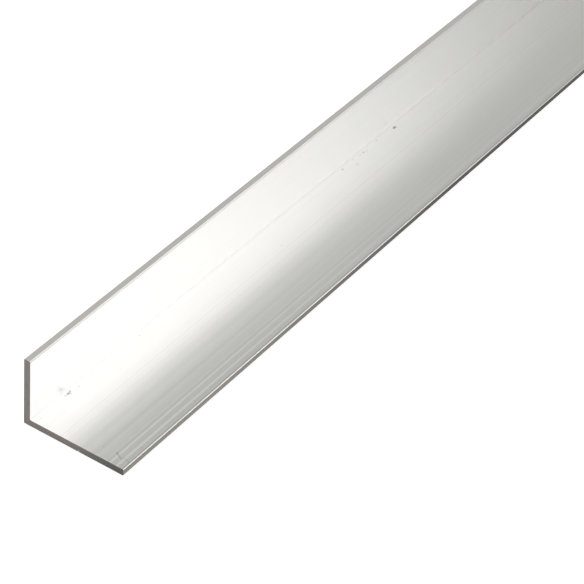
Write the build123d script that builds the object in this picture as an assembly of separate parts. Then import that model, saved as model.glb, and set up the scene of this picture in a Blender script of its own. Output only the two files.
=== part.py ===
from build123d import *

import os

# Aluminium angle section with unequal legs: one extruded bar, sawn square at both ends.
# It lies on its wide leg, and the narrow leg stands up along one side.
#
# X runs along the bar, Y runs across the wide leg from toe to heel, and Z is up.
# The origin is in the middle of the footprint, on the surface that the bar lies on.
# Sizes are in millimetres.

# Driving dimensions
length = 1000.0  # from one sawn end to the other
wide_leg = 76.2  # outer width of the lying leg, heel to toe
narrow_leg = 50.8  # outer height of the standing leg, heel to lip
wall = 4.76  # thickness of both legs
heel_radius = 0.8  # outer corner where the two legs meet
root_radius = 0.6  # fillet in the inside corner between the legs
edge_radius = 0.4  # both edges of each leg's free end

# The two edges of a free end share one wall, so each round keeps under half of it.
edge_round = min(edge_radius, 0.45 * wall)
heel_round = min(heel_radius, 0.9 * wall)


def corner_at(sketch, point):
    """The corner of the sketch that lies nearest to the point."""
    return sketch.vertices().sort_by_distance((*point, 0))[0]


def round_corner(sketch, point, radius):
    """Round one corner of the sketch with an arc that is tangent to both of its sides."""
    return fillet(corner_at(sketch, point), radius=radius)


def angle_profile():
    """Cross-section of the bar, with Y and Z as the sketch's own two axes."""
    heel_side = wide_leg / 2
    toe_side = -wide_leg / 2
    heel = (heel_side, 0)
    toe_bottom = (toe_side, 0)
    toe_top = (toe_side, wall)
    root = (heel_side - wall, wall)
    lip_inner = (heel_side - wall, narrow_leg)
    lip_outer = (heel_side, narrow_leg)

    outline = Polyline(heel, toe_bottom, toe_top, root, lip_inner, lip_outer, close=True)
    profile = make_face(outline)
    profile = round_corner(profile, heel, heel_round)
    profile = round_corner(profile, root, root_radius)
    for edge in (toe_bottom, toe_top, lip_inner, lip_outer):
        profile = round_corner(profile, edge, edge_round)
    return profile


def angle_section():
    """The profile, extruded both ways from the middle of the bar."""
    return extrude(Plane.YZ * angle_profile(), amount=length / 2, both=True)


parts = {"angle_section": angle_section()}

os.makedirs("parts", exist_ok=True)
for name, part in parts.items():
    part.label = name
    export_step(part, os.path.join("parts", name + ".step"))
    box = part.bounding_box()
    print(f"{name}: {box.size.X:.2f} x {box.size.Y:.2f} x {box.size.Z:.2f} mm, {part.volume:.0f} mm3")
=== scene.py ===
# %% [markdown]
# # A metal angle section
# An aluminium angle is made in one go. A hot billet is pushed through a steel die whose opening
# has the section's outline, the long bar is stretched straight, and a saw cuts it to length.
# This lesson builds the bar the same way: draw the outline, scratch the die's lines into it,
# push it out to its length, and dress the sawn ends. The construction model is loaded first,
# because it fixes the real size, and everything here is measured from it.

# %% Load the construction model
import math
import random

import bmesh
import bpy
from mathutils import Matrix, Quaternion, Vector


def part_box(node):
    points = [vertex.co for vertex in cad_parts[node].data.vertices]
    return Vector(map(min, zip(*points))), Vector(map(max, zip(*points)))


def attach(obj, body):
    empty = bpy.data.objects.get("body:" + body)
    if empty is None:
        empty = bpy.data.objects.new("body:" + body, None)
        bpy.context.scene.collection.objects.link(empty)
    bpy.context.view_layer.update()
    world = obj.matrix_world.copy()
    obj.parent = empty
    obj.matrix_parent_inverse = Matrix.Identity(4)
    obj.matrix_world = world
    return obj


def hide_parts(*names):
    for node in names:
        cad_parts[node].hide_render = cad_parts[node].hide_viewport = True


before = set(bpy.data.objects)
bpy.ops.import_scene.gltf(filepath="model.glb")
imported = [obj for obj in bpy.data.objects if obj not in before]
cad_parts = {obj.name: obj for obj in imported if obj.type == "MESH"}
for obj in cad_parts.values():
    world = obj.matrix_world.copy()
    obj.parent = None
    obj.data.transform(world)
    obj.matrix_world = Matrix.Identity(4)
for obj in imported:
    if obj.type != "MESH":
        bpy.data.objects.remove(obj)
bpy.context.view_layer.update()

MM = 0.001
low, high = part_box("angle_section")
near_x = low.x
far_x = high.x
toe_y = low.y
heel_y = high.y
narrow_leg = high.z
wide_leg = heel_y - toe_y
length = far_x - near_x
print(f"bar {length:.3f} m long, legs {wide_leg / MM:.1f} and {narrow_leg / MM:.1f} mm")

# %% [markdown]
# The thickness of the metal isn't one of the box's numbers. Over the wide leg, away from the
# heel, the highest corner of the construction model lies on that leg's upper face, so its
# height is the wall's thickness. The inside corner, called the root, starts one wall in from
# the heel.

# %% Measure the wall
cad_corners = [corner.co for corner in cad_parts["angle_section"].data.vertices]
wall = max(corner.z for corner in cad_corners if corner.y < 0)
root_y = heel_y - wall
print(f"wall {wall / MM:.2f} mm, root at y = {root_y / MM:.2f} mm")

# %% [markdown]
# The camera comes early, because it decides how much of the bar is in view. A wide lens from
# close by would splay the bar's edges apart. A long lens from well back keeps them nearly
# parallel, as a catalogue shows its goods. It looks along the bar from above its near end, and
# it is rolled a few degrees, so that the narrow leg stands upright in the render.

# %% Place the camera
camera_place = Vector((-1.44865, -0.72804, 1.08433))
camera_aim = Vector((-0.29100, -0.01689, 0.0))
camera_roll = math.radians(4.838)
camera_lens = 163.98  # mm, over a sensor 36 mm wide

camera_data = bpy.data.cameras.new("camera")
camera_data.lens = camera_lens
camera_data.sensor_width = 36.0
camera_data.clip_end = 100.0
camera = bpy.data.objects.new("camera", camera_data)
bpy.context.scene.collection.objects.link(camera)
bpy.context.scene.camera = camera

sight = camera_aim - camera_place
camera.location = camera_place
camera.rotation_mode = "QUATERNION"
level_view = sight.to_track_quat("-Z", "Y")
camera.rotation_quaternion = Quaternion(sight.normalized(), -camera_roll) @ level_view
print(f"camera {sight.length:.2f} m from the bar, lens {camera_lens:.0f} mm")

# %% [markdown]
# Blender's tools act on whatever is selected. Working by hand you would click on an edge; in a
# script it is found by its place instead. `pick` selects the corners or the edges whose middle
# passes a test, and says how many it found. `near` is that test's ruler: it calls two lengths
# equal when they differ by less than a thousandth of a millimetre.

# %% Helpers that select by place
def deselect_all():
    for other in bpy.context.selected_objects:
        other.select_set(False)


def pick(kind, test):
    bpy.ops.mesh.select_mode(type=kind)
    bpy.ops.mesh.select_all(action="DESELECT")
    mesh = bmesh.from_edit_mesh(bpy.context.edit_object.data)
    elements = mesh.verts if kind == "VERT" else mesh.edges
    count = 0
    for element in elements:
        corners = [element] if kind == "VERT" else element.verts
        middle = sum((corner.co for corner in corners), Vector()) / len(corners)
        if test(middle):
            element.select_set(True)
            count += 1
    mesh.select_flush_mode()
    bmesh.update_edit_mesh(bpy.context.edit_object.data)
    return count


def near(a, b, slack=0.001 * MM):
    return abs(a - b) < slack


# %% [markdown]
# The section is an L with two legs of one wall. The outline could be drawn as a curve, or cut
# from a thick block. Drawing it flat and extruding it is closer to the real thing: the die only
# knows the outline. It starts as a strip, the end of the wide leg, standing at the bar's near
# end.

# %% Draw the wide leg's end
deselect_all()
strip_middle = (near_x, 0, wall / 2)
bpy.ops.mesh.primitive_plane_add(size=1, location=strip_middle, rotation=(0, math.pi / 2, 0))
bar = bpy.context.active_object
bar.name = "angle_bar"
bar.scale = (wall, wide_leg, 1)
bpy.ops.object.transform_apply(location=True, rotation=True, scale=True)
print("strip", tuple(round(size / MM, 2) for size in bar.dimensions), "mm")

# %% [markdown]
# The strip is cut one wall in from the heel, and the short edge above that cut is pulled up to
# make the narrow leg. Dissolving the leftover lines makes the L one flat face again.

# %% Raise the narrow leg
bpy.ops.object.mode_set(mode="EDIT")
bpy.ops.mesh.select_all(action="SELECT")
bpy.ops.mesh.bisect(plane_co=(0, root_y, 0), plane_no=(0, 1, 0))
raised = pick("EDGE", lambda m: near(m.z, wall) and m.y > root_y)
rise = (0, 0, narrow_leg - wall)
bpy.ops.mesh.extrude_region_move(TRANSFORM_OT_translate={"value": rise})
bpy.ops.mesh.select_all(action="SELECT")
bpy.ops.mesh.dissolve_limited(angle_limit=math.radians(1))
outline = bmesh.from_edit_mesh(bar.data)
print(raised, "edge raised,", len(outline.verts), "corners in the outline")

# %% [markdown]
# No die has perfectly sharp corners, and hot metal wouldn't fill them. All six corners are
# rounded by a millimetre or less: the lip's inner edge and the heel the most, and the two outer
# edges that nothing has worn the least. It is these small rounds that catch the light as thin
# bright lines along the bar. A Bevel modifier could round the finished bar, but with one radius
# for all. Here each corner of the flat outline gets its own.

# %% Round the corners
heel_radius = 0.8 * MM
root_radius = 0.6 * MM
edge_radius = 0.4 * MM
worn_radius = 1.0 * MM  # the lip's inner edge, worn by handling
toe_radius = 0.5 * MM  # the toe's upper edge, worn less
round_steps = 8


def round_corner(y, z, radius):
    found = pick("VERT", lambda m: near(m.y, y) and near(m.z, z))
    bpy.ops.mesh.bevel(affect="VERTICES", offset=radius, segments=round_steps, profile=0.5)
    print(f"{found} corner at y {y / MM:.2f}, z {z / MM:.2f} rounded by {radius / MM:.1f} mm")


round_corner(heel_y, 0, heel_radius)
round_corner(root_y, wall, root_radius)
round_corner(toe_y, 0, edge_radius)
round_corner(toe_y, wall, toe_radius)
round_corner(root_y, narrow_leg, worn_radius)
round_corner(heel_y, narrow_leg, edge_radius)

# %% [markdown]
# Where the die's edge is worn or has picked up aluminium, it draws a line along the whole bar.
# To have something to move, the outline's long sides are divided into steps of under half a
# millimetre. One call of Subdivide makes at most 100 cuts, so it is done twice. The toe and the
# top of the lip are short, and need only a few cuts.

# %% Divide the outline's sides
long_cuts = 90
short_cuts = 7
long_sides = {
    "wide leg, upper": lambda m: near(m.z, wall) and m.y < root_y,
    "wide leg, under": lambda m: near(m.z, 0),
    "narrow leg, inner": lambda m: near(m.y, root_y) and m.z > wall,
    "narrow leg, outer": lambda m: near(m.y, heel_y),
}
for side, test in long_sides.items():
    pick("EDGE", test)
    bpy.ops.mesh.subdivide(number_cuts=long_cuts, ngon=True)
    steps = pick("EDGE", test)
    bpy.ops.mesh.subdivide(number_cuts=1, ngon=True)
    print(side, "divided into", 2 * steps, "steps")

short_sides = (lambda m: near(m.y, toe_y)), (lambda m: near(m.z, narrow_leg))
for test in short_sides:
    pick("EDGE", test)
    bpy.ops.mesh.subdivide(number_cuts=short_cuts, ngon=True)

# %% [markdown]
# Die lines could be left to the material, but then the mesh itself would be perfectly flat.
# Here each is pressed in by moving one corner of the outline a few hundredths of a millimetre,
# with proportional editing on, so its neighbours follow less and less. A negative depth raises
# a ridge. For each side the table says which way the side runs, which way it is pressed, where
# its surface lies, and the sign of inwards.

# %% A helper that presses a die line
SIDES = {
    "wide upper": ("y", "z", wall, -1),
    "wide under": ("y", "z", 0.0, 1),
    "narrow inner": ("z", "y", root_y, 1),
    "narrow outer": ("z", "y", heel_y, -1),
}
half_step = 0.22 * MM
line_slack = 0.3 * MM  # more than the lines pressed so far have moved a corner


def press(side, place, depth, reach):
    run, across, level, inward = SIDES[side]

    def on_line(m):
        at_place = abs(getattr(m, run) - place) < half_step
        return at_place and near(getattr(m, across), level, line_slack)

    pick("VERT", on_line)
    move = Vector()
    setattr(move, across, inward * depth)
    bpy.ops.transform.translate(
        value=move,
        use_proportional_edit=True,
        proportional_edit_falloff="SMOOTH",
        proportional_size=reach,
    )


# %% [markdown]
# The lines on the wide leg lie where the real bar has them. Most run near the toe, and the two
# deepest, with a ridge beside each, show as light streaks.

# %% Press the lines of the wide leg
wide_leg_lines = (
    # mm from the heel, depth in mm, reach in mm
    (28.5, 0.016, 1.4),
    (32.3, -0.006, 1.3),
    (36.0, -0.006, 1.3),
    (44.8, 0.008, 1.3),
    (48.3, -0.008, 1.3),
    (54.5, 0.012, 1.4),
    (57.0, -0.012, 1.3),
    (62.6, -0.020, 1.4),
    (64.8, 0.020, 1.4),
    (65.8, -0.030, 1.4),
    (67.2, 0.030, 1.4),
    (69.9, -0.006, 1.3),
    (70.8, -0.030, 1.4),
    (72.4, 0.035, 1.6),
    (75.1, 0.016, 1.0),
)
for from_heel, depth, reach in wide_leg_lines:
    press("wide upper", heel_y - from_heel * MM, depth * MM, reach * MM)
print(len(wide_leg_lines), "die lines on the wide leg")

# %% [markdown]
# The other sides get lines from the same die. Where each of these lies doesn't matter, so a
# random generator scatters them. It is seeded, so the bar comes out the same each time. They
# are shallow: the narrow leg's inner face is the smoothest of all.

# %% Press finer lines into the other sides
random.seed(14)
for side, first, last, count, deepest in (
    ("wide under", toe_y + 2 * MM, heel_y - 2 * MM, 16, 0.020 * MM),
    ("narrow outer", 2 * MM, narrow_leg - 2 * MM, 12, 0.020 * MM),
    ("narrow inner", wall + 4 * MM, narrow_leg - 4 * MM, 6, 0.004 * MM),
):
    for line in range(count):
        place = random.uniform(first, last)
        depth = deepest * random.uniform(0.3, 1.0)
        reach = random.uniform(0.6, 1.6) * MM
        press(side, place, depth, reach)
    print(count, "lines,", side)

# %% [markdown]
# Now the bar is pushed out of the die: the flat outline is extruded to the full length in one
# move. Recalculating the normals makes every face point outwards.

# %% Push the bar through the die
bpy.ops.mesh.select_all(action="SELECT")
bpy.ops.mesh.extrude_region_move(TRANSFORM_OT_translate={"value": (length, 0, 0)})
bpy.ops.mesh.select_all(action="SELECT")
bpy.ops.mesh.normals_make_consistent(inside=False)
print("bar of", len(bmesh.from_edit_mesh(bar.data).faces), "faces")

# %% [markdown]
# A saw leaves square ends with a crisp edge. A tenth of a millimetre is taken off all round
# with a flat bevel, as a file would, so that the edge has a face of its own to catch the light.

# %% Dress the sawn edges
dressing = 0.1 * MM
edges = pick("EDGE", lambda m: near(m.x, near_x) or near(m.x, far_x))
bpy.ops.mesh.bevel(affect="EDGES", offset=dressing, segments=1)
bpy.ops.object.mode_set(mode="OBJECT")
print(edges, "edges dressed")

# %% [markdown]
# The sawn face has a small chip by its lower edge, where the bar was knocked. Pulling corners
# about would spread the damage along the whole bar, so a rough pebble is subtracted from that
# spot, and it leaves a shallow hollow like the real one. The pebble's middle stands a little
# out of the face, which sets how deep the hollow is.

# %% Shape the pebble
nick_y = heel_y - 42.3 * MM
nick_z = 0.58 * MM
pebble_radius = 0.6 * MM
pebble_middle = (near_x - 0.25 * MM, nick_y, nick_z)
pebble_roughness = 0.03 * MM

deselect_all()
bpy.ops.mesh.primitive_ico_sphere_add(subdivisions=3, radius=pebble_radius, location=pebble_middle)
pebble = bpy.context.active_object
bpy.ops.object.transform_apply(location=True, rotation=False, scale=False)
bpy.ops.object.mode_set(mode="EDIT")
bpy.ops.mesh.select_all(action="SELECT")
bpy.ops.transform.vertex_random(offset=pebble_roughness, seed=3)
bpy.ops.object.mode_set(mode="OBJECT")
print("pebble of", len(pebble.data.polygons), "faces")

# %% Knock a nick into the sawn face
deselect_all()
bar.select_set(True)
bpy.context.view_layer.objects.active = bar
cut = bar.modifiers.new("nick", "BOOLEAN")
cut.operation = "DIFFERENCE"
cut.solver = "EXACT"
cut.object = pebble
bpy.ops.object.modifier_apply(modifier="nick")
bpy.data.objects.remove(pebble)
print("nick at", round(nick_y / MM, 1), "mm from the middle;", len(bar.data.polygons), "faces")

# %% [markdown]
# Smoothing by angle keeps the sawn ends crisp and lets the rounds and the die lines flow. Then
# the bar takes the construction model's place, and says which body it moves with.

# %% Smooth, check and hand the bar over
bpy.ops.object.shade_smooth_by_angle(angle=math.radians(30))

check = bmesh.new()
check.from_mesh(bar.data)
open_edges = sum(1 for edge in check.edges if not edge.is_manifold)
print(f"{open_edges} open edges, {check.calc_volume() * 1e6:.1f} cm3 of metal")
check.free()

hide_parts("angle_section")
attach(bar, "root")

# %% [markdown]
# The finish comes in three kinds. Most of the bar has the mill finish, just as it left the die:
# bright, a little silky, and drawn into fine lines along its length. The sawn ends are duller,
# scored by the blade, and painted darker. The toe's narrow face is painted the darkest of the long
# faces. Both darker colours are painted shade, for the dark surroundings that these faces mirror.
# Effects that more than one finish needs are made once, as node groups. Wiring nodes one by one
# takes many lines, so these helpers keep it short: `plug` gives a socket either a link or a plain
# value, and the others add one kind of node each.

# %% Helpers for nodes
def add_node(tree, kind, **values):
    node = tree.nodes.new(kind)
    for name, value in values.items():
        setattr(node, name, value)
    return node


def plug(tree, socket, value):
    if isinstance(value, bpy.types.NodeSocket):
        tree.links.new(value, socket)
    else:
        socket.default_value = value


def math_node(tree, operation, *values):
    node = add_node(tree, "ShaderNodeMath", operation=operation)
    for socket, value in zip(node.inputs, values):
        plug(tree, socket, value)
    return node.outputs["Value"]


def vector_node(tree, operation, *values, scale=None, out="Vector"):
    node = add_node(tree, "ShaderNodeVectorMath", operation=operation)
    for socket, value in zip(node.inputs, values):
        plug(tree, socket, value)
    if scale is not None:
        plug(tree, node.inputs["Scale"], scale)
    return node.outputs[out]


def split(tree, vector):
    node = tree.nodes.new("ShaderNodeSeparateXYZ")
    plug(tree, node.inputs["Vector"], vector)
    return node.outputs


# %% [markdown]
# Two shapes of change come up again and again. A mask slides from one value to another between
# two limits, straight or with soft ends. A ramp of greys follows a table of places, each
# with its shade, and its first and last stop are the ends of the surface it is laid across.

# %% Helpers for masks and ramps
def slide(tree, value, start, end, before=0.0, after=1.0, soft=False):
    kind = "SMOOTHSTEP" if soft else "LINEAR"
    node = add_node(tree, "ShaderNodeMapRange", interpolation_type=kind)
    plug(tree, node.inputs["Value"], value)
    node.inputs["From Min"].default_value = start
    node.inputs["From Max"].default_value = end
    node.inputs["To Min"].default_value = before
    node.inputs["To Max"].default_value = after
    return node.outputs["Result"]


def grey_ramp(tree, value, shades, span, first, last):
    node = tree.nodes.new("ShaderNodeValToRGB")
    stops = node.color_ramp.elements
    for place, shade in shades:
        stop = stops.new(place * MM / span)
        stop.color = (shade, shade, shade, 1)
    stops[0].color = (first, first, first, 1)
    stops[-1].color = (last, last, last, 1)
    plug(tree, node.inputs["Fac"], value)
    print("ramp of", len(stops), "greys over", round(span / MM, 1), "mm")
    return node.outputs["Color"]


# %% [markdown]
# A node group is a small machine of nodes with named sockets. Once built, it is placed in a
# material like any other node, with its own values each time.

# %% Helpers for node groups
def new_group(name, inputs, output):
    group = bpy.data.node_groups.new(name, "ShaderNodeTree")
    for socket, kind in inputs.items():
        group.interface.new_socket(socket, in_out="INPUT", socket_type="NodeSocket" + kind)
    group.interface.new_socket(output, in_out="OUTPUT", socket_type="NodeSocketFloat")
    entry = group.nodes.new("NodeGroupInput")
    leave = group.nodes.new("NodeGroupOutput")
    return group, entry.outputs, leave.inputs[output]


def use_group(tree, group, **values):
    node = add_node(tree, "ShaderNodeGroup", node_tree=group)
    for socket, value in values.items():
        plug(tree, node.inputs[socket], value)
    return node.outputs[0]


# %% [markdown]
# Drawn lines are the fine scratches that the die leaves along the bar. A picture of brushed
# metal could be stretched over it, but noise needs no picture and never repeats. The position
# is divided by a long run one way and by a fine spacing the other two, so the noise hardly
# changes along the bar and changes fast across it. The same group serves every long face,
# because across the wide leg it reads y and across the narrow leg it reads z. It gives one
# value that wavers about a half.

# %% Node group: drawn lines
drawn_lines, given, result = new_group(
    "drawn_lines", {"Position": "Vector", "Run": "Float", "Spacing": "Float"}, "Line"
)
per_run = math_node(drawn_lines, "DIVIDE", 1.0, given["Run"])
per_spacing = math_node(drawn_lines, "DIVIDE", 1.0, given["Spacing"])
squeeze = drawn_lines.nodes.new("ShaderNodeCombineXYZ")
plug(drawn_lines, squeeze.inputs["X"], per_run)
plug(drawn_lines, squeeze.inputs["Y"], per_spacing)
plug(drawn_lines, squeeze.inputs["Z"], per_spacing)
stretched = vector_node(drawn_lines, "MULTIPLY", given["Position"], squeeze.outputs["Vector"])
grain = drawn_lines.nodes.new("ShaderNodeTexNoise")
plug(drawn_lines, grain.inputs["Vector"], stretched)
plug(drawn_lines, grain.inputs["Scale"], 1.0)
plug(drawn_lines, grain.inputs["Detail"], 2.0)
plug(drawn_lines, grain.inputs["Roughness"], 0.6)
plug(drawn_lines, result, grain.outputs["Fac"])
print("group", drawn_lines.name, "of", len(drawn_lines.nodes), "nodes")

# %% [markdown]
# Marks: specks, smudges and scratches are all short strokes, some so short that they are dots.
# They could be painted on by hand, or scattered by noise. Measured strokes put each mark where
# it belongs. The group finds how far a point is from the straight stroke between a start and an
# end, as you would with a ruler: slide along the stroke to the nearest place on it, but not past
# its ends, and measure from there. Over the stroke's width the mask fades out softly.

# %% Node group: one mark
mark, given, result = new_group(
    "mark",
    {"Position": "Vector", "Start": "Vector", "End": "Vector", "Width": "Float", "Darkness": "Float"},
    "Mask",
)
stroke = vector_node(mark, "SUBTRACT", given["End"], given["Start"])
from_start = vector_node(mark, "SUBTRACT", given["Position"], given["Start"])
along = vector_node(mark, "DOT_PRODUCT", from_start, stroke, out="Value")
whole = vector_node(mark, "DOT_PRODUCT", stroke, stroke, out="Value")
whole = math_node(mark, "MAXIMUM", whole, 1e-9)  # a dot has no length to divide by
share = mark.nodes.new("ShaderNodeClamp")
plug(mark, share.inputs["Value"], math_node(mark, "DIVIDE", along, whole))
nearest = vector_node(mark, "SCALE", stroke, scale=share.outputs["Result"])
gap = vector_node(mark, "DISTANCE", from_start, nearest, out="Value")
widths_away = math_node(mark, "DIVIDE", gap, given["Width"])
cover = slide(mark, widths_away, 0.15, 1.0, before=1.0, after=0.0, soft=True)
plug(mark, result, math_node(mark, "MULTIPLY", cover, given["Darkness"]))
print("group", mark.name, "of", len(mark.nodes), "nodes")

# %% [markdown]
# The mill finish is bare metal, so the colour is what the metal reflects: nearly white, a touch
# warm. Metal drawn through a die has its highlights smeared across the lines. Thousands of
# grooves in the mesh would do that too, far too slowly, and anisotropy does it in the shader.
# The Tangent socket is told which way the lines run, along x, and a quarter turn smears across
# them.

# %% Mill finish: the bare metal
def bare_metal(name, color, roughness, anisotropy):
    metal = bpy.data.materials.new(name)
    metal.use_nodes = True
    bar.data.materials.append(metal)
    tree = metal.node_tree
    shader = tree.nodes["Principled BSDF"]
    shader.inputs["Base Color"].default_value = (*color, 1)
    shader.inputs["Metallic"].default_value = 1.0
    shader.inputs["Roughness"].default_value = roughness
    shader.inputs["Anisotropic"].default_value = anisotropy
    if anisotropy:
        shader.inputs["Anisotropic Rotation"].default_value = 0.25
        lines_run = tree.nodes.new("ShaderNodeCombineXYZ")
        lines_run.inputs["X"].default_value = 1.0
        plug(tree, shader.inputs["Tangent"], lines_run.outputs["Vector"])
    place = tree.nodes.new("ShaderNodeTexCoord").outputs["Object"]
    return tree, shader, place


def add_relief(tree, shader, height, depth):
    bump = tree.nodes.new("ShaderNodeBump")
    plug(tree, bump.inputs["Strength"], 1.0)
    plug(tree, bump.inputs["Distance"], depth)
    plug(tree, bump.inputs["Height"], height)
    plug(tree, shader.inputs["Normal"], bump.outputs["Normal"])


MILL_COLOR = (0.871, 0.869, 0.862)
MILL_ROUGHNESS = 0.307
MILL_ANISOTROPY = 0.73
mill_tree, mill_shader, mill_place = bare_metal(
    "mill_finish", MILL_COLOR, MILL_ROUGHNESS, MILL_ANISOTROPY
)
print("colour of bare aluminium", MILL_COLOR)

# %% [markdown]
# Two sizes of drawn lines lie over the whole bar. The fine ones, under a millimetre apart, are
# slightly rougher and slightly smoother by turns, and stand a hundredth of a millimetre proud,
# too little to be worth modelling, so a Bump node raises them. The broad ones only make the
# shade waver a little from strip to strip.

# %% Mill finish: drawn lines in the gloss and in the relief
fine_line = use_group(mill_tree, drawn_lines, Position=mill_place, Run=0.25, Spacing=0.9 * MM)
broad_line = use_group(mill_tree, drawn_lines, Position=mill_place, Run=0.6, Spacing=5 * MM)

gloss_change = 0.02  # roughness, either way
smoothest = MILL_ROUGHNESS - gloss_change
roughest = MILL_ROUGHNESS + gloss_change
gloss = slide(mill_tree, fine_line, 0.3, 0.7, smoothest, roughest)
add_relief(mill_tree, mill_shader, fine_line, 0.01 * MM)
print("roughness from", round(smoothest, 3), "to", round(roughest, 3))

# %% [markdown]
# The strongest lines are tuned one by one. Noise can't be told where to put them, so a colour
# ramp is laid across the wide leg, from heel to toe. It is half grey where nothing happens,
# lighter and darker where a die line shows. The die lines are real, but how light or dark they
# show is partly painted reflection, since a real line shows by what its slope mirrors. Most
# lines are strongest at the near end and fade along the bar: that fade is painted reflection,
# for the light falling differently along the bar. The lasting ones don't fade: a pale one by
# the root, one a third of the way across, and the dark rim just inside the toe's edge, which is
# painted shade where the toe's round starts to turn from the light. A ramp holds 32 stops at
# most, so the lines that fade share two.

# %% Mill finish: the strong lines across the wide leg
# mm from the heel, then the shade there: 0.5 is plain
LASTING_LINES = (
    (7.0, 0.50), (8.8, 0.515), (11.5, 0.50),
    (26.0, 0.49), (27.1, 0.52), (27.8, 0.50), (28.4, 0.42), (29.0, 0.50), (29.7, 0.52), (30.8, 0.50),
    # this row ends in the dark rim inside the toe's edge: painted shade
    (72.1, 0.50), (73.0, 0.46), (73.6, 0.49), (74.1, 0.45), (74.7, 0.28), (75.6, 0.22), (75.8, 0.50),
)
MIDDLE_LINES = (
    (14.0, 0.50), (24.0, 0.53), (31.2, 0.535), (32.3, 0.60), (33.8, 0.53), (36.0, 0.575), (39.5, 0.515),
    (42.7, 0.545), (44.6, 0.47), (47.0, 0.485), (48.6, 0.55), (51.0, 0.505), (52.6, 0.49), (54.1, 0.42),
    (55.3, 0.465), (56.7, 0.545), (58.2, 0.485), (59.7, 0.505), (61.4, 0.475),
)
TOE_LINES = (
    (61.8, 0.50), (63.0, 0.58), (64.45, 0.32), (65.2, 0.54), (66.0, 0.81), (66.9, 0.50), (67.6, 0.44),
    (68.6, 0.46), (69.4, 0.39), (70.2, 0.58), (70.9, 0.86), (71.65, 0.55), (72.8, 0.375), (73.5, 0.48),
    (74.2, 0.51), (75.8, 0.50),
)
mill_at = split(mill_tree, mill_place)
from_heel = slide(mill_tree, mill_at["Y"], heel_y, toe_y)


def line_shades(lines):
    shades = grey_ramp(mill_tree, from_heel, lines, wide_leg, first=0.5, last=0.5)
    return math_node(mill_tree, "SUBTRACT", shades, 0.5)


# %% Mill finish: let the strong lines fade along the bar
# The fade along the bar is painted reflection: it stands in for the light changing along the bar.
faded_by = near_x + 0.4
faded_share = 0.12
lasting = line_shades(LASTING_LINES)
passing = math_node(mill_tree, "ADD", line_shades(MIDDLE_LINES), line_shades(TOE_LINES))
fading = slide(mill_tree, mill_at["X"], near_x, faded_by, 1.0, faded_share, soft=True)
on_top = slide(mill_tree, mill_at["Z"], 0.5 * wall, 0.6 * wall)
strong_lines = math_node(mill_tree, "MULTIPLY_ADD", passing, fading, lasting)
strong_lines = math_node(mill_tree, "MULTIPLY", strong_lines, on_top)

# %% [markdown]
# The root is painted a little darker: painted shade in the inner corner, which also keeps its
# round from mirroring the panel as a bright line. Shade in corners can be found by Ambient
# Occlusion, but that depends on what stands near the bar. Here the mask measures how far a point
# is from the inner corner, seen along the bar: the length along x is left out by multiplying it
# by nought. Tight in the corner the painted shade is stronger, more so away from the near end.

# %% Mill finish: painted shade in the root
root_shade_share = 0.04
corner_shade_share = 0.05
corner_shade_from = near_x + 0.05
corner_shade_full = near_x + 0.35
seen_along = vector_node(mill_tree, "MULTIPLY", mill_place, (0.0, 1.0, 1.0))
from_root = vector_node(mill_tree, "DISTANCE", seen_along, (0.0, root_y, wall), out="Value")
# Painted shade: darker tight in the root, stronger further from the near end.
root_shade = slide(mill_tree, from_root, 0.45 * MM, 1.4 * MM, root_shade_share, 0.0, soft=True)
in_corner = slide(mill_tree, from_root, 0.5 * MM, 0.8 * MM, 1.0, 0.0, soft=True)
corner_shade = slide(mill_tree, mill_at["X"], corner_shade_from, corner_shade_full, 0.0, corner_shade_share)
root_loss = math_node(mill_tree, "MULTIPLY_ADD", in_corner, corner_shade, root_shade)
print("root corner at", round(root_y / MM, 2), round(wall / MM, 2), "mm")

# %% [markdown]
# Where the lip turns into the narrow leg's inner face, its round and the face just below it are
# painted a little darker: painted shade, for the dimmer surroundings that the round mirrors.
# Splitting off those faces would give a hard edge, so a ramp reads the height, and a mask keeps
# it on that face. The lip is also a shade warmer than the rest.

# %% Mill finish: painted shade on the edge of the lip
LIP_SHADES = (
    # mm above the floor, then the share of light that is left
    (45.0, 1.00), (48.2, 1.00), (49.3, 1.00), (49.8, 0.85), (50.1, 0.72), (50.4, 0.70), (50.65, 0.88),
)
up_the_leg = slide(mill_tree, mill_at["Z"], 0.0, narrow_leg)
# Painted shade on the lip's round, read by height.
lip_light = grey_ramp(mill_tree, up_the_leg, LIP_SHADES, narrow_leg, first=1.0, last=0.88)
on_inner_face = slide(mill_tree, mill_at["Y"], root_y + 1.1 * MM, root_y + 0.9 * MM)
lip_loss = math_node(mill_tree, "SUBTRACT", 1.0, lip_light)
lip_loss = math_node(mill_tree, "MULTIPLY", lip_loss, on_inner_face)

LIP_WARMTH = (0.026, 0.0, 0.0)
warm_from = narrow_leg - 3 * MM
warm_to = narrow_leg - 0.2 * MM
lip_warmth = slide(mill_tree, mill_at["Z"], warm_from, warm_to, soft=True)

# %% [markdown]
# Handling left its marks: a smudge near the root, a row of specks along it, a cluster of them
# further on, and a hooked scratch by the toe. Each is one copy of the mark group with its own
# start, end, width and darkness. Adding them up would make crossings too dark, so they are
# joined by taking the darkest.

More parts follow.
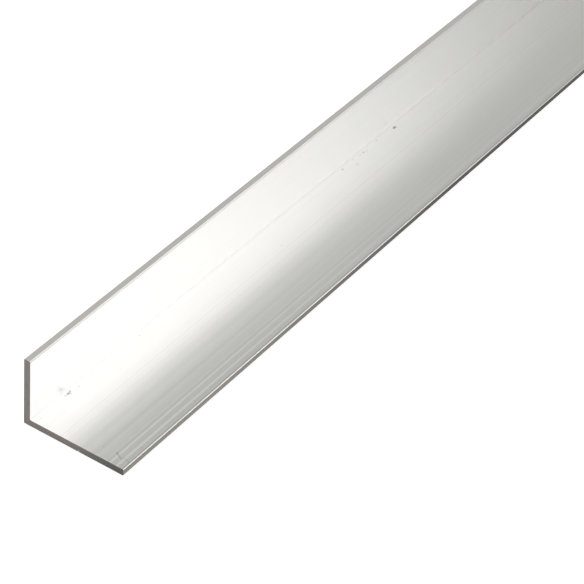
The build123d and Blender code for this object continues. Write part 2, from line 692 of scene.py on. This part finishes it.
# %% Mill finish: marks of handling
MARKS = (
    # from the sawn end and the heel, start and end, then width in mm, and darkness
    ((30.6, 7.6), (33.2, 7.7), 0.8, 0.20),
    ((33.2, 7.8), (34.4, 7.7), 1.25, 0.50),
    ((34.6, 7.6), (36.6, 7.1), 0.9, 0.42),
    ((34.0, 8.0), (34.8, 8.9), 0.9, 0.32),
    ((42.9, 8.5), (43.2, 8.5), 0.9, 0.26),
    ((49.6, 9.6), (49.8, 9.6), 0.7, 0.08),
    ((65.2, 9.3), (65.6, 9.3), 0.8, 0.10),
    ((71.8, 18.4), (72.2, 18.4), 0.8, 0.10),
    ((105.9, 7.9), (106.4, 7.9), 0.9, 0.20),
    ((121, 12.9), (121.5, 12.9), 0.8, 0.08),
    ((240.0, 24.6), (240.6, 24.6), 0.9, 0.12),
    ((337.4, 8.4), (338.4, 8.4), 1.1, 0.28),
    ((348.8, 13.2), (350, 13.1), 1.1, 0.15),
    ((352.0, 7.4), (352.8, 7.6), 0.9, 0.12),
    ((359.5, 8.2), (360.4, 8.6), 0.8, 0.16),
    ((363.4, 8.5), (364.6, 8.5), 1.1, 0.26),
    ((366.8, 9.2), (367.6, 9.4), 0.8, 0.18),
    ((381.4, 7.6), (382.6, 7.6), 1.0, 0.16),
    ((402.6, 8.9), (404.4, 8.7), 1.5, 0.62),
    ((5.3, 9.4), (5.7, 9.4), 0.8, 0.22),
    ((8.9, 54.2), (9.2, 54.2), 0.8, 0.14),
    ((22.8, 73.1), (23.3, 73.1), 0.8, 0.12),
    ((9.8, 63.9), (8.5, 66.0), 0.75, 0.32),
    ((8.5, 66.0), (6.9, 69.3), 0.65, 0.28),
    ((6.9, 69.3), (8.8, 69.8), 0.60, 0.14),
    ((8.8, 69.8), (8.3, 72.0), 0.60, 0.17),
    ((8.3, 72.0), (7.5, 74.4), 0.65, 0.18),
    ((7.4, 74.7), (7.7, 74.6), 0.75, 0.26),
    ((20.0, 62.5), (20.3, 62.5), 0.7, 0.12),
)


def on_wide_leg(from_end, across_leg):
    return near_x + from_end * MM, heel_y - across_leg * MM, wall


marks = None
for start, end, width, darkness in MARKS:
    one_mark = use_group(
        mill_tree, mark, Position=mill_place, Start=on_wide_leg(*start), End=on_wide_leg(*end),
        Width=width * MM, Darkness=darkness,
    )
    marks = one_mark if marks is None else math_node(mill_tree, "MAXIMUM", marks, one_mark)
print(len(MARKS), "marks")

# %% [markdown]
# Now the layers meet. The lines waver about nought and are added up to one shade near 1. What
# takes light away, such as the marks and the painted shade on the lip and in the root, then
# multiplies that shade by what it leaves. The marks are also a little rougher than the clean metal.

# %% Mill finish: put colour and gloss together
strong_gain = 0.8
broad_gain = 0.035
fine_gain = 0.08
mark_roughness = 0.15

broad_shade = math_node(mill_tree, "SUBTRACT", broad_line, 0.5)
fine_shade = math_node(mill_tree, "SUBTRACT", fine_line, 0.5)
shade = math_node(mill_tree, "MULTIPLY_ADD", strong_lines, strong_gain, 1.0)
shade = math_node(mill_tree, "MULTIPLY_ADD", broad_shade, broad_gain, shade)
shade = math_node(mill_tree, "MULTIPLY_ADD", fine_shade, fine_gain, shade)
for loss in (marks, lip_loss, root_loss):
    left = math_node(mill_tree, "SUBTRACT", 1.0, loss)
    shade = math_node(mill_tree, "MULTIPLY", shade, left)

warmer = vector_node(mill_tree, "SCALE", LIP_WARMTH, scale=lip_warmth)
tinted = vector_node(mill_tree, "ADD", MILL_COLOR, warmer)
mill_color = vector_node(mill_tree, "SCALE", tinted, scale=shade)
plug(mill_tree, mill_shader.inputs["Base Color"], mill_color)
rough_marks = math_node(mill_tree, "MULTIPLY_ADD", marks, mark_roughness, gloss)
plug(mill_tree, mill_shader.inputs["Roughness"], rough_marks)
print("mill finish of", len(mill_tree.nodes), "nodes")

# %% [markdown]
# The saw. A circular blade leaves arcs about its own centre, and the blade is large, so on a
# bar this small the arcs are nearly straight. A Wave texture would make them all alike. The
# group measures the distance from the blade's centre and feeds it to one-dimensional noise: the
# same distance always gives the same line, and no two lines are alike.

# %% Node group: saw lines
saw_lines, given, result = new_group(
    "saw_lines", {"Position": "Vector", "Blade": "Vector", "Spacing": "Float"}, "Line"
)
arc = vector_node(saw_lines, "DISTANCE", given["Position"], given["Blade"], out="Value")
lines_away = math_node(saw_lines, "DIVIDE", arc, given["Spacing"])
score = add_node(saw_lines, "ShaderNodeTexNoise", noise_dimensions="1D")
plug(saw_lines, score.inputs["W"], lines_away)
plug(saw_lines, score.inputs["Scale"], 1.0)
plug(saw_lines, score.inputs["Detail"], 2.0)
plug(saw_lines, result, score.outputs["Fac"])
print("group", saw_lines.name, "of", len(saw_lines.nodes), "nodes")

# %% [markdown]
# Sawn aluminium is dull, and rough the same way in all directions, so it has no anisotropy. The
# blade's centre lies past the heel at the height of the floor. So its lines stand upright in the
# end of the wide leg, and run up the narrow leg, leaning a little more with the height. They
# show as fine light and dark lines, and as a relief of a few hundredths of a millimetre.

# %% Sawn finish: the blade's lines
# The sawn colours are darkened: painted shade, for the dark surroundings that the real sawn face
# mirrors.
SAWN_COLOR = (0.301, 0.279, 0.264)
blade_centre = (near_x, heel_y + 0.15, 0.0)
sawn_tree, sawn_shader, sawn_place = bare_metal("sawn_finish", SAWN_COLOR, 0.5, 0.0)
score_line = use_group(
    sawn_tree, saw_lines, Position=sawn_place, Blade=blade_centre, Spacing=0.8 * MM
)
add_relief(sawn_tree, sawn_shader, score_line, 0.03 * MM)
print("blade's centre", round((blade_centre[1] - heel_y) / MM), "mm past the heel")

# %% [markdown]
# Cutting oil dried on the face in patches, some greyer and some browner. Soft noise makes the
# patches, and a table leans it one way or the other along the wide leg, so that the browner
# ones lie where the real bar has them.

# %% Sawn finish: grey and brown patches
# Both patch colours carry the same painted shade.
GREY_PATCH = (0.274, 0.270, 0.253, 1)
BROWN_PATCH = (0.309, 0.268, 0.258, 1)
PATCH_LEAN = (
    # mm from the heel, then greyer below 0.5 and browner above
    (6.0, 0.50), (24.0, 0.60), (40.0, 0.44), (50.0, 0.46), (58.0, 0.34), (70.0, 0.34), (74.5, 0.62),
)
patches = sawn_tree.nodes.new("ShaderNodeTexNoise")
plug(sawn_tree, patches.inputs["Vector"], sawn_place)
plug(sawn_tree, patches.inputs["Scale"], 90.0)
plug(sawn_tree, patches.inputs["Detail"], 1.0)

sawn_at = split(sawn_tree, sawn_place)
sawn_from_heel = slide(sawn_tree, sawn_at["Y"], heel_y, toe_y)
lean = grey_ramp(sawn_tree, sawn_from_heel, PATCH_LEAN, wide_leg, first=0.5, last=0.62)
lean = math_node(sawn_tree, "SUBTRACT", lean, 0.5)
leaning = math_node(sawn_tree, "ADD", patches.outputs["Fac"], lean)

patch_tints = sawn_tree.nodes.new("ShaderNodeValToRGB")
grey_stop, brown_stop = patch_tints.color_ramp.elements
grey_stop.position = 0.38
grey_stop.color = GREY_PATCH
brown_stop.position = 0.62
brown_stop.color = BROWN_PATCH
plug(sawn_tree, patch_tints.inputs["Fac"], leaning)

# %% [markdown]
# The face is darker towards the toe.
# The nick is painted lighter, a painted highlight where its hollow catches the light. It could
# have a material of its own, but the mark group finds that spot too: here its mask is added to the
# shade, so it makes the spot lighter.

# %% Sawn finish: scored, darker towards the toe, and a painted highlight in the nick
score_gain = 0.35
toe_share = 0.60
darkening_end = toe_y + 48 * MM
nick_highlight_width = 0.9 * MM
nick_highlight_gain = 2.6

scored = math_node(sawn_tree, "SUBTRACT", score_line, 0.5)
scored = math_node(sawn_tree, "MULTIPLY_ADD", scored, score_gain, 1.0)
darker_to_toe = slide(sawn_tree, sawn_at["Y"], toe_y, darkening_end, toe_share, 1.0, soft=True)
scored = math_node(sawn_tree, "MULTIPLY", scored, darker_to_toe)

# Painted highlight in the nick: it lifts the colour above what the metal reflects.
nick_place = (near_x, nick_y, nick_z)
nick_highlight = use_group(
    sawn_tree, mark, Position=sawn_place, Start=nick_place, End=nick_place,
    Width=nick_highlight_width, Darkness=nick_highlight_gain,
)
sawn_shade = math_node(sawn_tree, "ADD", scored, nick_highlight)
sawn_color = vector_node(sawn_tree, "SCALE", patch_tints.outputs["Color"], scale=sawn_shade)
plug(sawn_tree, sawn_shader.inputs["Base Color"], sawn_color)
print("sawn finish of", len(sawn_tree.nodes), "nodes")

# %% [markdown]
# The toe's narrow face has the same drawn lines as the rest, over a darker colour: painted
# shade, for the dark surroundings that the real face mirrors. The painted shade is lighter near
# the sawn end and darker further along, and darker at the top of the face than at its foot. The
# rounds above and below this face keep the mill finish. It could be one more mask in the mill
# finish, but a material of its own is easier to read and to change.

# %% Toe finish
# The toe colour is darkened: painted shade for the dark surroundings the face mirrors.
TOE_COLOR = (0.315, 0.293, 0.272)
near_end_share = 1.24
far_end_share = 0.38
toe_line_gain = 0.3

toe_tree, toe_shader, toe_place = bare_metal("toe_finish", TOE_COLOR, 0.38, 0.0)
toe_line = use_group(toe_tree, drawn_lines, Position=toe_place, Run=0.12, Spacing=0.7 * MM)
toe_at = split(toe_tree, toe_place)
shade_fade_from = near_x + 0.06
shade_fade_to = near_x + 0.40
# Painted shade along the bar: lighter near the sawn end, darker further along.
toe_painted_shade = slide(toe_tree, toe_at["X"], shade_fade_from, shade_fade_to, near_end_share, far_end_share, soft=True)
# Painted shade up the face: darker at the top, lighter at the foot.
darker_at_top = slide(toe_tree, toe_at["Z"], 0.2 * wall, 0.8 * wall, 1.12, 0.88)
toe_shade = math_node(toe_tree, "SUBTRACT", toe_line, 0.5)
toe_shade = math_node(toe_tree, "MULTIPLY_ADD", toe_shade, toe_line_gain, toe_painted_shade)
toe_shade = math_node(toe_tree, "MULTIPLY", toe_shade, darker_at_top)
toe_color = vector_node(toe_tree, "SCALE", TOE_COLOR, scale=toe_shade)
plug(toe_tree, toe_shader.inputs["Base Color"], toe_color)
print("toe finish of", len(toe_tree.nodes), "nodes")

# %% [markdown]
# By hand you would select faces and press Assign. In a script each face is given its finish by
# the way it looks: along the bar is a sawn end with its dressed edge, and outwards past the toe
# is the toe's narrow face. The nick counts as sawn.

# %% Give every face its finish
MILL, SAWN, TOE = range(3)
nick_reach = 0.7 * MM
nick_depth = 1.0 * MM
toe_depth = 0.2 * MM

counts = [0, 0, 0]
for face in bar.data.polygons:
    place = face.center
    from_nick = math.hypot(place.y - nick_y, place.z - nick_z)
    in_nick = from_nick < nick_reach and place.x < near_x + nick_depth
    if abs(face.normal.x) > 0.5 or in_nick:
        finish = SAWN
    elif face.normal.y < -0.97 and place.y < toe_y + toe_depth:
        finish = TOE
    else:
        finish = MILL
    face.material_index = finish
    counts[finish] += 1
print("faces: mill", counts[MILL], "sawn", counts[SAWN], "toe", counts[TOE])

# %% [markdown]
# The floor is plain white paper, matt, so it has no reflections of its own. A white floor lit
# at a plain level still comes out as a light grey. Instead of turning the lamps up, which
# would burn out the metal, the paper glows a little for rays that come from the camera, and
# less for those from a reflection, so that the metal mirrors plain white paper. It lies a hair
# below the bar, so that the two surfaces don't fight for the same place.

# %% Lay the floor
PAPER_WHITE = (0.88, 0.88, 0.88, 1)
seen_glow = 0.55
mirrored_glow = 0.16
paper_gap = 0.05 * MM

deselect_all()
bpy.ops.mesh.primitive_plane_add(size=12, location=(0, 0, -paper_gap))
floor = bpy.context.active_object
floor.name = "floor"
paper = bpy.data.materials.new("white_paper")
paper.use_nodes = True
floor.data.materials.append(paper)

paper_tree = paper.node_tree
paper_shader = paper_tree.nodes["Principled BSDF"]
paper_shader.inputs["Base Color"].default_value = PAPER_WHITE
paper_shader.inputs["Roughness"].default_value = 1.0
paper_shader.inputs["Specular IOR Level"].default_value = 0.0
paper_shader.inputs["Emission Color"].default_value = (1, 1, 1, 1)

rays = paper_tree.nodes.new("ShaderNodeLightPath").outputs
seen = math_node(paper_tree, "MULTIPLY", rays["Is Camera Ray"], seen_glow)
mirrored = math_node(paper_tree, "MAXIMUM", rays["Is Glossy Ray"], rays["Is Transmission Ray"])
glow = math_node(paper_tree, "MULTIPLY_ADD", mirrored, mirrored_glow, seen)
plug(paper_tree, paper_shader.inputs["Emission Strength"], glow)
print("paper", PAPER_WHITE[0], "white")

# %% [markdown]
# Metal is lit by what it mirrors. The wide leg's outer half mirrors the studio's far wall, so
# the world gives it its middle grey. The world is a plain colour, a little brighter overhead
# than at the level of the floor, as in a room with a pale ceiling. An image of a real studio
# could stand in for it, but plain light lets the metal show its own finish.

# %% Light the studio: the world
WORLD_COLOR = (0.995, 1.0, 0.95, 1)
level_strength = 0.375
overhead_strength = 0.581

world = bpy.data.worlds.new("studio")
bpy.context.scene.world = world
world.use_nodes = True
surroundings = world.node_tree.nodes["Background"]
surroundings.inputs["Color"].default_value = WORLD_COLOR
direction = world.node_tree.nodes.new("ShaderNodeTexCoord").outputs["Generated"]
upwards = split(world.node_tree, direction)["Z"]
strength = slide(world.node_tree, upwards, 0.0, 1.0, level_strength, overhead_strength)
plug(world.node_tree, surroundings.inputs["Strength"], strength)
print("world from", level_strength, "to", overhead_strength)

# %% [markdown]
# Both faces beside the root mirror one soft panel, which stands to the right of the bar and
# above it: light from it bounces off one leg and then the other. Its edge is what makes the
# brightness fade along the bar. The second panel stands behind the heel, where no face mirrors
# it to the camera: it only brings the paper up to a plain level. A panel is placed by its turn
# about the bar and its lift above the floor, both in degrees. A lamp's power is shared out over
# its area, so it is worked out from how bright the panel should look.

# %% Light the studio: the soft panels
panel_aim = Vector((near_x + 0.2, 0, 0))


def soft_panel(name, turn, lift, distance, size, brightness):
    turn = math.radians(turn)
    side = Vector((math.cos(turn), math.sin(turn), math.tan(math.radians(lift)))).normalized()
    data = bpy.data.lights.new(name, "AREA")
    data.shape = "RECTANGLE"
    data.size, data.size_y = size
    data.energy = brightness * math.pi * size[0] * size[1]
    panel = bpy.data.objects.new(name, data)
    bpy.context.scene.collection.objects.link(panel)
    panel.location = panel_aim + distance * side
    panel.rotation_mode = "QUATERNION"
    panel.rotation_quaternion = (-side).to_track_quat("-Z", "Y")
    print(name, tuple(round(c, 2) for c in panel.location), f"{data.energy:.1f} W")
    return data


mirrored_panel = soft_panel(
    "mirrored_panel", turn=-43.5, lift=34.0, distance=2.45, size=(1.04, 1.90), brightness=1.63
)
mirrored_panel.color = (1.0, 0.994, 1.0)
soft_panel("fill_panel", turn=120, lift=60, distance=2.2, size=(1.7, 1.7), brightness=1.4)

# %% [markdown]
# The view transform turns light into the colours of the picture. Most of them roll the bright
# tones off, as film does. Standard leaves them alone, so a colour renders about as written.

# %% Show the colours as written
bpy.context.scene.view_settings.view_transform = "Standard"
print("view transform", bpy.context.scene.view_settings.view_transform)
